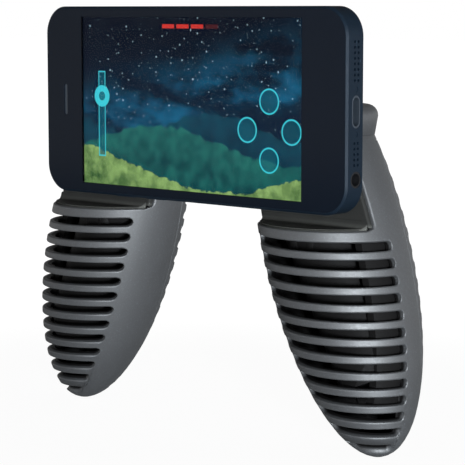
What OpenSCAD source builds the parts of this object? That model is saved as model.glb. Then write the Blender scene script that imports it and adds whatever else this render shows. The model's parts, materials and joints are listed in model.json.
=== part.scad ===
// Phone carried by two ribbed hand grips, for playing touch-screen games.
// X runs along the screen, Y from the screen to the back, Z up.
// The origin is the middle of the cover glass's front face.

/* [Phone] */
// Length of the phone along the screen
phone_w = 123.8; // [118:0.1:132]
// Height of the phone across the screen
phone_h = 58.6; // [57:0.1:64]
// Thickness of the phone
phone_t = 7.6; // [7.4:0.1:9]
// Radius of the phone's four corners
corner_r = 8.5; // [7.5:0.1:9.5]
// Chamfer along the frame's front and back edges
edge_chamfer = 0.6; // [0.3:0.05:0.8]
// Thickness of the frame's side walls
frame_wall = 2; // [1.8:0.1:2.2]
// Thickness of the cover glass
glass_t = 0.9; // [0.7:0.05:1]
// Rim of frame left showing round the glass and the back plate
rim = 0.75; // [0.65:0.05:0.9]
// Bezel between the display and the phone's ends
end_bezel = 16.4; // [15.9:0.1:18]
// Bezel above and below the display
side_bezel = 3.1; // [2.8:0.1:5]
// Thickness of the display
display_t = 1.6; // [1.2:0.1:1.7]
// Thickness of the plate between the display and the rear bay
mid_plate_t = 0.6; // [0.5:0.05:0.8]
// Thickness of the back plate
back_plate_t = 1; // [0.8:0.05:1.1]

/* [Phone ends and keys] */
// Radius of the headphone socket
jack_r = 1.8; // [1.6:0.05:1.9]
// Length of the headphone socket's barrel
jack_l = 13; // [11:0.5:13.5]
// Height of the port opening along Z
port_h = 8.1; // [7:0.1:9]
// Width of the port opening along Y
port_w = 2.7; // [2.2:0.1:2.9]
// Radius of the holes in the end grilles
grille_r = 0.45; // [0.3:0.05:0.55]
// Spacing of the holes in the end grilles
grille_pitch = 1.53; // [1.3:0.01:1.7]
// Length of each key
key_l = 9; // [7:0.5:10]
// Width of each key
key_w = 2; // [1.6:0.1:2.2]
// How far a key stands out of the frame
key_proud = 0.6; // [0.5:0.05:0.8]
// How far a key travels when pressed
key_travel = 0.4; // [0.25:0.05:0.45]
// How far the mute slider travels
mute_travel = 1; // [0.6:0.1:1.2]
// Length of the card tray's face
tray_l = 14.6; // [13.6:0.2:18]

/* [Grip] */
// Largest radius of the grip
grip_r = 21.4; // [20.5:0.1:23]
// Half the length of the grip's egg shape
grip_half_len = 60.3; // [57:0.1:64]
// Outward lean of the grip
grip_lean = 17.15; // [14:0.05:19]
// How far the egg's middle lies in from the phone's end
grip_inset = 15.6; // [12:0.1:20]
// How far the egg's middle lies behind the phone's back
grip_setback = 7.7; // [6.5:0.1:9]
// How far the egg's middle lies below the phone's lower edge
grip_drop = 12.7; // [11:0.1:15]
// Wall of the grip shell and of its lid
shell_wall = 2.6; // [2.2:0.1:3]
// Clear height between the phone's lower edge and the pocket's floor
pocket_drop = 4.2; // [3.6:0.1:5]
// Thickness of the rubber pad on the pocket's floor
floor_pad_t = 1.2; // [0.8:0.1:1.6]
// Thickness of the grip pad behind the phone
back_pad_t = 1.8; // [1.2:0.1:2.4]
// Radius of the fillet between the pocket's floor and wall
pocket_fillet = 2; // [1:0.1:2.4]
// Height of the shell's spine above the pocket's floor
spine_h = 26.1; // [22:0.1:28]
// Height of the cap on the spine
cap_h = 8.4; // [7:0.1:10]
// How far the cap flares out above the neck
cap_flare = 0.95; // [0.4:0.05:1.5]
// Rounding of the cap's upper edge
cap_round = 3.2; // [2:0.1:4]

/* [Grip slots] */
// Spacing of the slots
slot_pitch = 4.85; // [4.6:0.05:4.9]
// Height of each slot
slot_h = 2.6; // [2:0.1:2.9]
// Pocket floor to the middle of the first slot
first_slot = 4.3; // [4:0.1:5]
// How far the slots stop short of the grip's inner outline
slot_inset = 3.5; // [3:0.1:4.5]
// How far the slots stop in front of the egg's middle on the outer side
slot_outer_stop = 1.3; // [0.5:0.1:3]
// How far the lid's seam lies behind the egg's middle
seam_setback = 7.4; // [6.8:0.1:8.4]
// Material left between a lid groove's end and the seam
groove_margin = 1.4; // [1:0.1:2]
// Depth of the grooves across the lid
groove_depth = 1.6; // [1:0.1:1.8]
// Thickness of the core's blade, which closes the slots' outer ends from inside
strip_t = 2; // [1.6:0.1:2.4]
// Reach of that blade in front of the egg's middle
strip_reach = 8.6; // [8:0.1:9.4]

/* [Grip core and screws] */
// Radius of the core at its top
core_top_r = 12.6; // [12:0.1:13]
// Radius of the core at its foot
core_foot_r = 11.6; // [11.2:0.1:12]
// Length of the core
core_h = 46; // [44:0.5:47]
// Outward lean of the core
core_lean = 25; // [23:0.5:26]
// How far the core's top lies inward of the grip's axis
core_inset = 1.5; // [1:0.1:2]
// Shank radius of the grip's screws
screw_r = 1.2; // [1:0.05:1.4]
// Head radius of the grip's screws
screw_head_r = 2.2; // [2:0.05:2.4]
// Radius of the lid's screw posts
post_r = 3.5; // [3.2:0.1:4]
// Spacing of the two screws in the core's top
core_screw_gap = 5.6; // [5.2:0.1:7]

/* [Hidden] */
$fn = 64;
// Clearance round fixed pieces that drop into place
fit_gap = 0.05;
// Clearance round pieces that move
slide_gap = 0.12;
// Extra length of a cut that runs out of a piece
over = 1;
// Size of the display
screen_w = phone_w - 2 * end_bezel;
screen_h = phone_h - 2 * side_bezel;
// Depth of the bays at the two ends, measured from the glass's front
web_t = 0.8;
bay_front = glass_t + web_t;
// Inner faces of the frame's end and side walls
inner_x = phone_w / 2 - frame_wall;
inner_z = phone_h / 2 - frame_wall;
// Front and back of the rear bay
display_back = glass_t + display_t;
rear_bay = display_back + mid_plate_t;
plate_front = phone_t - back_plate_t;
// The end bays start this far past the display
bay_rib = 2;
bay_x = screen_w / 2 + bay_rib;
// Middle of the frame's thickness, where the ports and keys sit
mid_y = phone_t / 2 + 0.3;
key_depth = 1.6;
key_y = rear_bay + key_depth;
// Port, screws, grilles and socket along the right end, outward from the port
port_wall = 0.5;
port_depth = 7.2;
port_floor = 0.8;
tongue_t = 0.7;
tongue_gap = 1;
tongue_recess = 1.5;
end_screw_r = 0.7;
end_screw_gap = 1.7;
end_screw_z = port_h / 2 + port_wall + end_screw_gap;
grille_gap = 1.8;
grille_start = end_screw_z + end_screw_r + grille_gap;
long_grille_rows = 8;
short_grille_rows = 5;
jack_wall = 0.5;
jack_gap = 1.4;
jack_z = -grille_start - (short_grille_rows - 1) * grille_pitch - grille_r - jack_gap - jack_wall - jack_r;
// How far the end pieces sit below the frame's surface
end_recess = 0.1;
// Keys on the lower edge, tray on the upper one, measured from the phone's ends and top
mute_from_end = 18.9;
mute_x = mute_from_end - phone_w / 2;
volume_up_from_end = 31.9;
volume_up_x = volume_up_from_end - phone_w / 2;
volume_down_from_end = 44.9;
volume_down_x = volume_down_from_end - phone_w / 2;
tray_from_end = 43.9;
tray_x = phone_w / 2 - tray_from_end;
power_from_top = 21.3;
power_z = phone_h / 2 - power_from_top;
flange_t = 0.6;
flange_rim = 0.6;
flange_lip = 0.4;
stem_r = 0.6;
stem_l = 0.4;
switch_h = 1.5;
switch_l = 3.6;
switch_back = 1.2;
dome_h = 0.4;
// Gap left under a pressed key's stem
press_gap = 0.1;
mute_slot_l = 5;
mute_knob_l = 2.4;
// Card, tray and reader
card_l = 12.3;
card_w = 8.8;
card_t = 0.67;
card_rim = 1.5;
tray_t = 1.2;
tray_face_t = 1.8;
tray_rail = 1.1;
tray_face_gap = 0.4;
tray_depth = frame_wall + card_l + card_rim + 0.2;
reader_wall = 0.6;
reader_back = 0.5;
reader_floor = 1;
reader_low = phone_h / 2 - tray_depth - reader_wall - reader_floor;
// Earpiece and cameras, measured from the phone's left end and top
ear_from_end = 9.1;
ear_x = ear_from_end - phone_w / 2;
ear_l = 9.8;
ear_w = 1.5;
receiver_w = 6;
receiver_t = 3;
receiver_rim = 1;
front_camera_r = 1.1;
front_camera_half = 2;
front_camera_t = 2.6;
front_camera_gap = 3.3;
front_camera_z = -ear_l / 2 - front_camera_gap;
camera_from_end = 9.4;
rear_camera_x = camera_from_end - phone_w / 2;
camera_from_top = 9.8;
rear_camera_z = phone_h / 2 - camera_from_top;
rear_camera_r = 3.4;
camera_ring_w = 0.8;
camera_ring_proud = 0.3;
camera_margin = 0.4;
flash_from_camera = 9;
flash_x = rear_camera_x + flash_from_camera;
flash_r = 1.9;
// Battery, board and shield cans
board_t = 0.8;
can_t = 1.4;
can_w = 26;
can_inset = 4;
bay_gap = 0.3;
board_from_end = 53.9;
board_x = board_from_end - phone_w / 2;
board_inset = 3;
board_low_gap = 5;
board_low = board_low_gap - inner_z;
board_high_gap = 3;
board_high = inner_z - board_high_gap;
battery_gap = 2;
battery_low_gap = 8;
battery_low = battery_low_gap - inner_z;
motor_from_end = 2;
motor_from_low = 12;
motor_r = 1.6;
speaker_rim = 0.8;
microphone_l = 4;
microphone_gap = 1;
motor_l = 10;
// The egg's middle, for the grip on the +X side
grip_x = phone_w / 2 - grip_inset;
grip_y = phone_t + grip_setback;
grip_z = -phone_h / 2 - grip_drop;
egg_steps = 36;
// Pocket, spine and lid levels
floor_z = -phone_h / 2 - pocket_drop;
wall_y = phone_t + back_pad_t;
neck_z = floor_z + spine_h;
seam_y = grip_y + seam_setback;
lid_top_z = neck_z - 2;
spigot_h = 2.6;
// Lowest point of the egg, and of the lid's seam
egg_drop = sqrt(pow(grip_r * sin(grip_lean), 2) + pow(grip_half_len * cos(grip_lean), 2));
foot_z = grip_z - egg_drop;
lid_foot_z = grip_z - egg_drop * sqrt(1 - pow(seam_setback / grip_r, 2));
// Slots that fit down the front, and grooves up and down the lid
foot_margin = 3;
lid_margin = 1.5;
lid_foot_margin = 7;
slot_count = floor((slot_z(0) - foot_z - foot_margin) / slot_pitch) + 1;
grooves_above = floor((lid_top_z - lid_margin - slot_h / 2 - slot_z(0)) / slot_pitch);
grooves_below = floor((slot_z(0) - lid_foot_z - lid_foot_margin) / slot_pitch) + 1;
// Screws of the grip
lid_screw_z = [slot_z(2.5), slot_z(7.5)];
screw_gap = 0.06;
screw_bite = 7;
head_t = 1.4;
seat_y = grip_y + core_foot_r - 3;
core_top_z = floor_z - shell_wall;
core_top_x = axis_x(core_top_z) - core_inset;
core_bite = 4.8;
core_gap = 0.3;
boss_r = screw_r + 1.4;
// Depth of the blade's outer face under the egg's surface, its rear reach and its foot
strip_sunk = shell_wall + core_gap;
strip_back = 1;
strip_foot_z = slot_z(9.5);
// Pads on the pocket's floor and wall, and the front of the fillet between them
fillet_y = wall_y - pocket_fillet;
pad_inset = 0.7;
pad_gap = 0.3;
core_screw_y = fillet_y - screw_head_r;

// Middle level of front slot k, counted down from the pocket
function slot_z(k) = floor_z - first_slot - k * slot_pitch;
// Horizontal sections of the leaning egg: terms of its quadratic form
lean_xx = pow(cos(grip_lean) / grip_r, 2) + pow(sin(grip_lean) / grip_half_len, 2);
lean_zz = pow(sin(grip_lean) / grip_r, 2) + pow(cos(grip_lean) / grip_half_len, 2);
lean_xz = sin(grip_lean) * cos(grip_lean) * (1 / pow(grip_r, 2) - 1 / pow(grip_half_len, 2));
// Share of the full section left at height z, squared
function section_share(z) = max(0, 1 - (lean_zz - pow(lean_xz, 2) / lean_xx) * pow(z - grip_z, 2));
// Middle and half sizes of the section at height z
function section_x(z) = grip_x - lean_xz / lean_xx * (z - grip_z);
function section_half_x(z) = sqrt(section_share(z) / lean_xx);
function section_half_y(z) = grip_r * sqrt(section_share(z));
// Half length of the lid's seam at height z
function seam_half(z) =
    section_half_x(z) * sqrt(max(0, 1 - pow(seam_setback / section_half_y(z), 2)));
// The grip's axis at height z
function axis_x(z) = grip_x - tan(grip_lean) * (z - grip_z);

frame_navy = [0.10, 0.14, 0.19];
glass_black = [0.07, 0.08, 0.10];
steel = [0.70, 0.71, 0.73];
board_green = [0.08, 0.25, 0.14];
grip_grey = [0.28, 0.28, 0.29];
core_grey = [0.10, 0.10, 0.11];
rubber_black = [0.15, 0.15, 0.14];

// A block given by its low and high corners
module block(low, high) {
    translate(low) cube(high - low);
}

// A rounded rectangle in X and Z, standing from y0 to y1
module plate(w, h, r, y0, y1) {
    translate([0, y1, 0]) rotate([90, 0, 0]) linear_extrude(y1 - y0) rounded_rect(w, h, r);
}

module rounded_rect(w, h, r) {
    if (w > 2 * r) square([w - 2 * r, h], center = true);
    if (h > 2 * r) square([w, h - 2 * r], center = true);
    for (x = w > 2 * r ? [-1, 1] : [0], y = h > 2 * r ? [-1, 1] : [0])
        translate([x * (w / 2 - r), y * (h / 2 - r)]) circle(r);
}

// A plate with its front and back edges chamfered all round
module chamfered_plate(w, h, t, r, c) {
    half_edge = [[0, 0], [r - c, 0], [r, c], [r, t - c], [r - c, t], [0, t]];
    for (x = [-1, 1], z = [-1, 1])
        translate([x * (w / 2 - r), 0, z * (h / 2 - r)])
            rotate([-90, 0, 0]) rotate_extrude() polygon(half_edge);
    for (turn = [0, 1, 2, 3]) {
        along = turn % 2 == 0 ? w : h;
        across = turn % 2 == 0 ? h : w;
        rotate([0, turn * 90, 0]) translate([r - along / 2, 0, across / 2 - r])
            rotate([90, 0, 90]) linear_extrude(along - 2 * r)
                polygon([for (p = half_edge) [p[1], p[0]]]);
    }
    block([r - w / 2, 0, r - h / 2], [w / 2 - r, t, h / 2 - r]);
}

// A rod along X, Y or Z from one point
module rod_x(r, x0, x1, y, z) {
    translate([x0, y, z]) rotate([0, 90, 0]) cylinder(r = r, h = x1 - x0);
}

module rod_y(r, x, y0, y1, z) {
    translate([x, y1, z]) rotate([90, 0, 0]) cylinder(r = r, h = y1 - y0);
}

module rod_z(r, x, y, z0, z1) {
    translate([x, y, z0]) cylinder(r = r, h = z1 - z0);
}

// A slot with round ends in Y and Z, running along X
module end_slot(h, w, x0, x1, y, z) {
    translate([x0, y, z]) rotate([90, 0, 90]) linear_extrude(x1 - x0) rounded_rect(w, h, w / 2);
}

// A key's opening or body: a slot with round ends in X and Y, running along Z
module top_slot(l, w, x, y, z0, z1) {
    translate([x, y, z0]) linear_extrude(z1 - z0) rounded_rect(l, w, w / 2);
}

module phone_frame() {
    color(frame_navy) difference() {
        chamfered_plate(phone_w, phone_h, phone_t, corner_r, edge_chamfer);
        plate(phone_w - 2 * rim, phone_h - 2 * rim, corner_r - rim, -over, glass_t);
        block([-screen_w / 2 - fit_gap, glass_t - over, -screen_h / 2 - fit_gap],
            [screen_w / 2 + fit_gap, display_back, screen_h / 2 + fit_gap]);
        inner_space(rear_bay, phone_t - back_plate_t + over);
        plate(phone_w - 2 * rim, phone_h - 2 * rim, corner_r - rim, plate_front, phone_t + over);
        for (side = [-1, 1]) intersection() {
            inner_space(bay_front, phone_t);
            block([side < 0 ? -phone_w : bay_x, 0, -phone_h],
                [side < 0 ? -bay_x : phone_w, phone_t, phone_h]);
        }
        plate_slit(bay_front + over, 0);
        rod_y(front_camera_r + fit_gap, ear_x, 0, bay_front + over, front_camera_z);
        end_cuts();
        on_lower_edge() {
            key_cut(volume_up_x, inner_z);
            key_cut(volume_down_x, inner_z);
            wall_cut(mute_slot_l, key_w + mute_travel, mute_x, inner_z);
        }
        rotate([0, -90, 0]) key_cut(power_z, inner_x);
        wall_cut(tray_l + 2 * slide_gap, tray_face_t + 2 * slide_gap, tray_x, inner_z);
    }
}

// Turns what is drawn for the upper edge over to the lower edge
module on_lower_edge() {
    mirror([0, 0, 1]) children();
}

// A slot with round ends through a wall whose inner face lies at the given level
module wall_cut(l, w, along, wall_inner) {
    top_slot(l, w, along, key_y, wall_inner - over, wall_inner + frame_wall + over);
}

// The slot that a key runs in
module key_cut(along, wall_inner) {
    wall_cut(key_l + 2 * slide_gap, key_w + 2 * slide_gap, along, wall_inner);
}

// The space inside the frame's walls
module inner_space(y0, y1) {
    plate(2 * inner_x, 2 * inner_z, corner_r - frame_wall, y0, y1);
}

// The earpiece slit, from the glass's front to y1, grown by a gap
module plate_slit(y1, grow) {
    translate([ear_x, 0, 0])
        plate(ear_w + 2 * grow, ear_l + 2 * grow, ear_w / 2 + grow, -over, y1);
}

// Holes through the right end wall
module end_cuts() {
    x0 = inner_x - over;
    x1 = phone_w / 2 + over;
    for (col = [-1, 1]) {
        y = mid_y + col * grille_pitch / 2;
        for (row = [0 : long_grille_rows - 1])
            rod_x(grille_r, x0, x1, y, grille_start + row * grille_pitch);
        for (row = [0 : short_grille_rows - 1])
            rod_x(grille_r, x0, x1, y, -grille_start - row * grille_pitch);
    }
    end_slot(port_h + 2 * (port_wall + fit_gap), port_w + 2 * (port_wall + fit_gap), x0, x1, mid_y, 0);
    rod_x(jack_r + jack_wall + fit_gap, x0, x1, mid_y, jack_z);
    for (side = [-1, 1])
        rod_x(end_screw_r + fit_gap, x0, x1, mid_y, side * end_screw_z);
}

// A plate that drops into the frame's rim
module inset_plate(y0, y1) {
    edge = rim + fit_gap;
    plate(phone_w - 2 * edge, phone_h - 2 * edge, corner_r - edge, y0, y1);
}

module phone_back_plate() {
    color(frame_navy) difference() {
        inset_plate(plate_front, phone_t);
        rod_y(rear_camera_r + fit_gap, rear_camera_x, 0, phone_t + over, rear_camera_z);
        rod_y(flash_r + fit_gap, flash_x, 0, phone_t + over, rear_camera_z);
    }
}

module cover_glass() {
    color(glass_black) difference() {
        inset_plate(0, glass_t);
        plate_slit(glass_t + over, 0);
    }
}

module display_panel() {
    color([0.05, 0.22, 0.28])
        block([-screen_w / 2, glass_t, -screen_h / 2], [screen_w / 2, display_back, screen_h / 2]);
}

module earpiece_mesh() {
    color(glass_black) translate([ear_x, 0, 0])
        plate(ear_w - 2 * fit_gap, ear_l - 2 * fit_gap, ear_w / 2 - fit_gap, glass_t / 3, bay_front);
}

module earpiece_receiver() {
    color("dimgray")
        block([ear_x - receiver_w / 2, bay_front, -ear_l / 2 - receiver_rim],
            [ear_x + receiver_w / 2, bay_front + receiver_t, ear_l / 2 + receiver_rim]);
}

module front_camera() {
    half = front_camera_half;
    color("black") {
        rod_y(front_camera_r, ear_x, glass_t, bay_front + fit_gap, front_camera_z);
        block([ear_x - half, bay_front, front_camera_z - half],
            [ear_x + half, bay_front + front_camera_t, front_camera_z + half]);
    }
}

module rear_camera_module() {
    half = rear_camera_r + camera_margin;
    color("black") block([rear_camera_x - half, bay_front, rear_camera_z - half],
        [rear_camera_x + half, plate_front - bay_gap, rear_camera_z + half]);
}

module rear_camera_ring() {
    color(steel) difference() {
        rod_y(rear_camera_r, rear_camera_x, plate_front - bay_gap,
            phone_t + camera_ring_proud, rear_camera_z);
        rod_y(rear_camera_r - camera_ring_w, rear_camera_x, 0, phone_t + over, rear_camera_z);
    }
}

module rear_camera_lens() {
    lens_r = rear_camera_r - camera_ring_w - fit_gap;
    color("black") rod_y(lens_r, rear_camera_x, plate_front - bay_gap, phone_t, rear_camera_z);
}

module flash_window() {
    color("white") rod_y(flash_r, flash_x, plate_front, phone_t, rear_camera_z);
}

module battery() {
    color("dimgray") block([board_x + battery_gap, rear_bay, battery_low],
        [bay_x - battery_gap, plate_front - bay_gap, reader_low - battery_gap]);
}

module logic_board() {
    color(board_green)
        block([board_inset - bay_x, rear_bay, board_low], [board_x, rear_bay + board_t, board_high]);
}

module shield_cans() {
    low = rear_bay + board_t;
    x1 = board_x - can_inset;
    color(steel) {
        block([x1 - can_w, low, can_inset / 2], [x1, low + can_t, board_high - can_inset]);
        block([x1 - can_w, low, board_low + can_inset], [x1, low + can_t, -can_inset / 2]);
    }
}

module loudspeaker() {
    color("dimgray") block([bay_x + speaker_rim, bay_front, grille_start - speaker_rim],
        [inner_x - bay_gap, plate_front - bay_gap, grille_start + (long_grille_rows - 0.5) * grille_pitch]);
}

module microphone() {
    low = -grille_start - (short_grille_rows - 0.5) * grille_pitch;
    color(steel) block([inner_x - microphone_l, bay_front, low],
        [inner_x - bay_gap, plate_front - microphone_gap, speaker_rim - grille_start]);
}

module vibration_motor() {
    x0 = motor_from_end - inner_x;
    color(steel) rod_x(motor_r, x0, x0 + motor_l, bay_front + motor_r, motor_from_low - inner_z);
}

module dock_connector() {
    end_x = phone_w / 2;
    color(glass_black) difference() {
        end_slot(port_h + 2 * port_wall, port_w + 2 * port_wall,
            end_x - port_depth, end_x - end_recess, mid_y, 0);
        end_slot(port_h, port_w, end_x - port_depth + port_floor, end_x + over, mid_y, 0);
    }
}

module dock_tongue() {
    half = port_h / 2 - tongue_gap;
    color("black") block([phone_w / 2 - port_depth + port_floor, mid_y - tongue_t / 2, -half],
        [phone_w / 2 - tongue_recess, mid_y + tongue_t / 2, half]);
}

module headphone_jack() {
    end_x = phone_w / 2;
    color("black") difference() {
        rod_x(jack_r + jack_wall, end_x - jack_l, end_x - end_recess, mid_y, jack_z);
        rod_x(jack_r, end_x - jack_l + port_floor, end_x + over, mid_y, jack_z);
    }
}

module end_screws() {
    color(frame_navy) for (side = [-1, 1])
        rod_x(end_screw_r, inner_x - end_screw_r, phone_w / 2 - end_recess, mid_y, side * end_screw_z);
}

// One tactile switch, seated on the plate at y0, its dome facing +Z at the given level
module tactile_switch(x, y0, top) {
    block([x - switch_l / 2, y0, top - switch_h], [x + switch_l / 2, key_y + switch_back, top - dome_h]);
    rod_z(stem_r + dome_h, x, key_y, top - 2 * dome_h, top);
}

module key_switches() {
    reach = slide_gap + flange_t + stem_l + key_travel + press_gap;
    color(steel) {
        on_lower_edge() {
            tactile_switch(volume_up_x, rear_bay, inner_z - reach);
            tactile_switch(volume_down_x, rear_bay, inner_z - reach);
        }
        rotate([0, -90, 0]) tactile_switch(power_z, bay_front, inner_x - reach);
    }
}

// A key with its face at the given level, a flange behind the wall and a stem
module press_key(along, wall_inner, wall_outer) {
    flange_top = wall_inner - slide_gap;
    top_slot(key_l, key_w, along, key_y, flange_top - flange_t, wall_outer + key_proud);
    block([along - key_l / 2 - flange_rim, key_y - key_w / 2 - flange_lip, flange_top - flange_t],
        [along + key_l / 2 + flange_rim, key_y + key_w / 2 + flange_lip, flange_top]);
    rod_z(stem_r, along, key_y, flange_top - flange_t - stem_l, flange_top);
}

module volume_up_key() {
    color(frame_navy) on_lower_edge() press_key(volume_up_x, inner_z, phone_h / 2);
}

module volume_down_key() {
    color(frame_navy) on_lower_edge() press_key(volume_down_x, inner_z, phone_h / 2);
}

module power_key() {
    color(frame_navy) rotate([0, -90, 0]) press_key(power_z, inner_x, phone_w / 2);
}

module mute_switch() {
    knob_y = key_y - mute_travel / 2;
    knob_half = key_w / 2 - slide_gap;
    flange_half = mute_slot_l / 2 + flange_rim;
    low = inner_z - slide_gap - flange_t;
    color(frame_navy) on_lower_edge() {
        block([mute_x - mute_knob_l / 2, knob_y - knob_half, low],
            [mute_x + mute_knob_l / 2, knob_y + knob_half, phone_h / 2 + key_proud / 2]);
        block([mute_x - flange_half, knob_y - key_w / 2 + slide_gap, low],
            [mute_x + flange_half, knob_y + key_w / 2 + flange_lip / 2, low + flange_t]);
    }
}

module sim_reader() {
    half = tray_l / 2 + reader_wall;
    run = tray_l / 2 - tray_rail + slide_gap;
    top = inner_z - bay_gap;
    color(steel) difference() {
        block([tray_x - half, rear_bay, reader_low], [tray_x + half, key_y + tray_t / 2 + reader_back, top]);
        block([tray_x - run, key_y - tray_t / 2 - slide_gap, reader_low + reader_floor],
            [tray_x + run, key_y + tray_t / 2 + slide_gap, top + over]);
    }
}

module sim_tray() {
    half = tray_l / 2 - tray_rail;
    color(frame_navy) difference() {
        union() {
            top_slot(tray_l, tray_face_t, tray_x, key_y, inner_z + tray_face_gap, phone_h / 2);
            block([tray_x - half, key_y - tray_t / 2, phone_h / 2 - tray_depth],
                [tray_x + half, key_y + tray_t / 2, inner_z + 2 * tray_face_gap]);
        }
        card_seat(fit_gap, tray_t);
    }
}

// The card lies against the tray's back, with a gap all round
module card_seat(grow, deep) {
    low = phone_h / 2 - tray_depth + card_rim;
    back = key_y + tray_t / 2;
    block([tray_x - card_w / 2 - grow, back - card_t, low - grow],
        [tray_x + card_w / 2 + grow, back + deep, low + card_l + grow]);
}

module sim_card() {
    color("gold") card_seat(0, 0);
}

// The grip's egg, its surface set in by the inset
module egg(inset) {
    r = grip_r - inset;
    len = grip_half_len - inset;
    translate([grip_x, grip_y, grip_z]) rotate([0, -grip_lean, 0]) rotate_extrude()
        polygon([for (i = [0 : egg_steps]) let (t = 180 * i / egg_steps - 90) [r * cos(t), len * sin(t)]]);
}

// Everything behind and below the phone: the egg without its pocket, shifted by a wall
module below_pocket(wall) {
    reach = 2 * grip_half_len;
    difference() {
        block([grip_x - reach, grip_y - reach, grip_z - reach], [grip_x + reach, grip_y + reach, neck_z]);
        difference() {
            block([grip_x - 2 * reach, grip_y - 2 * reach, floor_z - wall],
                [grip_x + 2 * reach, wall_y + wall, grip_z + 2 * reach]);
            if (wall == 0) difference() {
                block([grip_x - reach, fillet_y, floor_z],
                    [grip_x + reach, wall_y, floor_z + pocket_fillet]);
                rod_x(pocket_fillet, grip_x - reach - over, grip_x + reach + over,
                    fillet_y, floor_z + pocket_fillet);
            }
        }
    }
}

// One front slot: open over the front and the outer side, round at both ends
module front_slot(k) {
    z = slot_z(k);
    r = slot_h / 2;
    x_end = section_x(z) - section_half_x(z) + slot_inset + r;
    y_end = grip_y - slot_outer_stop - r;
    far = 2 * grip_r;
    block([x_end, grip_y - far, z - r], [grip_x + 2 * far, y_end, z + r]);
    rod_y(r, x_end, grip_y - far, y_end, z);
    rod_x(r, x_end, grip_x + 2 * far, y_end, z);
}

// One groove across the lid, round at both ends
module lid_groove(k) {
    z = slot_z(k);
    r = slot_h / 2;
    half = seam_half(z) - groove_margin - r;
    x = section_x(z);
    block([x - half, seam_y - over, z - r], [x + half, grip_y + 2 * grip_r, z + r]);
    for (side = [-1, 1])
        rod_y(r, x + side * half, seam_y - over, grip_y + 2 * grip_r, z);
}

// The part of the egg that the lid covers
module lid_zone(gap) {
    reach = 2 * grip_half_len;
    block([grip_x - reach, seam_y + gap, grip_z - reach], [grip_x + reach, grip_y + reach, lid_top_z - gap]);
}

// Hollow of the grip: the egg inside its wall, clear of the pocket's floor and back
module hollow() {
    intersection() {
        egg(shell_wall);
        below_pocket(shell_wall);
    }
}

module grip_shell() {
    color(grip_grey) difference() {
        intersection() {
            egg(0);
            below_pocket(0);
        }
        hollow();
        lid_zone(0);
        for (k = [0 : slot_count - 1]) front_slot(k);
        for (side = [-1, 1]) core_screw_hole(side);
    }
}

// Place of a screw in the pocket's floor
function core_screw_x(side) = core_top_x + side * core_screw_gap / 2;

// Countersunk hole in the pocket's floor
module core_screw_hole(side) {
    x = core_screw_x(side);
    rod_z(screw_r + screw_gap, x, core_screw_y, core_top_z - over, floor_z + over);
    translate([x, core_screw_y, floor_z - head_t])
        cylinder(r1 = screw_r + screw_gap, r2 = screw_head_r + screw_gap, h = head_t);
}

module core_screws() {
    color(steel) for (side = [-1, 1]) {
        x = core_screw_x(side);
        rod_z(screw_r, x, core_screw_y, core_top_z - core_bite, floor_z - head_t / 2);
        translate([x, core_screw_y, floor_z - head_t]) cylinder(r1 = screw_r, r2 = screw_head_r, h = head_t);
    }
}

// Floor of the recess that a lid screw's head sits in
function head_seat_y(z) = grip_y + section_half_y(z) - shell_wall - head_t;

module back_cover() {
    far = grip_y + 2 * grip_r;
    color(grip_grey) difference() {
        union() {
            difference() {
                intersection() {
                    egg(0);
                    lid_zone(fit_gap);
                }
                hollow();
                difference() {
                    for (k = [-grooves_above : grooves_below - 1]) lid_groove(k);
                    egg(groove_depth);
                }
            }
            for (z = lid_screw_z) intersection() {
                egg(0);
                rod_y(post_r, section_x(z), seat_y, far, z);
            }
        }
        for (z = lid_screw_z) {
            rod_y(screw_r + screw_gap, section_x(z), seat_y - over, far, z);
            rod_y(screw_head_r + screw_gap, section_x(z), head_seat_y(z), far, z);
        }
    }
}

module cover_screws() {
    color(steel) for (z = lid_screw_z) {
        rod_y(screw_r, section_x(z), seat_y - screw_bite, head_seat_y(z) + head_t, z);
        rod_y(screw_head_r, section_x(z), head_seat_y(z), head_seat_y(z) + head_t, z);
    }
}

module core() {
    low = core_top_z - 2 * core_h;
    color(core_grey) difference() {
        union() {
            intersection() {
                egg(strip_sunk + strip_t / 2);
                translate([core_top_x, grip_y, core_top_z]) rotate([0, -core_lean, 0])
                    translate([0, 0, -core_h]) core_cone();
                block([grip_x - 2 * grip_r, grip_y - grip_r, low],
                    [grip_x + 2 * grip_r, grip_y + grip_r, core_top_z]);
            }
            core_blade();
            for (side = [-1, 1])
                rod_z(boss_r, core_screw_x(side), core_screw_y, core_top_z - core_bite - 0.5, core_top_z);
        }
        for (z = lid_screw_z) {
            rod_y(post_r + screw_gap, section_x(z), seat_y, grip_y + 2 * grip_r, z);
            rod_y(screw_r + screw_gap, section_x(z), seat_y - screw_bite - 1, seat_y + over, z);
        }
        for (side = [-1, 1])
            rod_z(screw_r + screw_gap, core_screw_x(side), core_screw_y,
                core_top_z - core_bite - 0.2, core_top_z + over);
    }
}

// Blade on the core's outer side, just inside the shell's wall
module core_blade() {
    intersection() {
        difference() {
            egg(strip_sunk);
            egg(strip_sunk + strip_t);
        }
        block([grip_x + grip_r / 2, grip_y - strip_reach, strip_foot_z],
            [grip_x + 2 * grip_r, grip_y + strip_back, core_top_z]);
    }
}

// The core's cone runs on past its top, which is then cut level
module core_cone() {
    run_on = core_top_r;
    grow = (core_top_r - core_foot_r) / core_h * run_on;
    cylinder(r1 = core_foot_r, r2 = core_top_r + grow, h = core_h + run_on);
}

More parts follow.
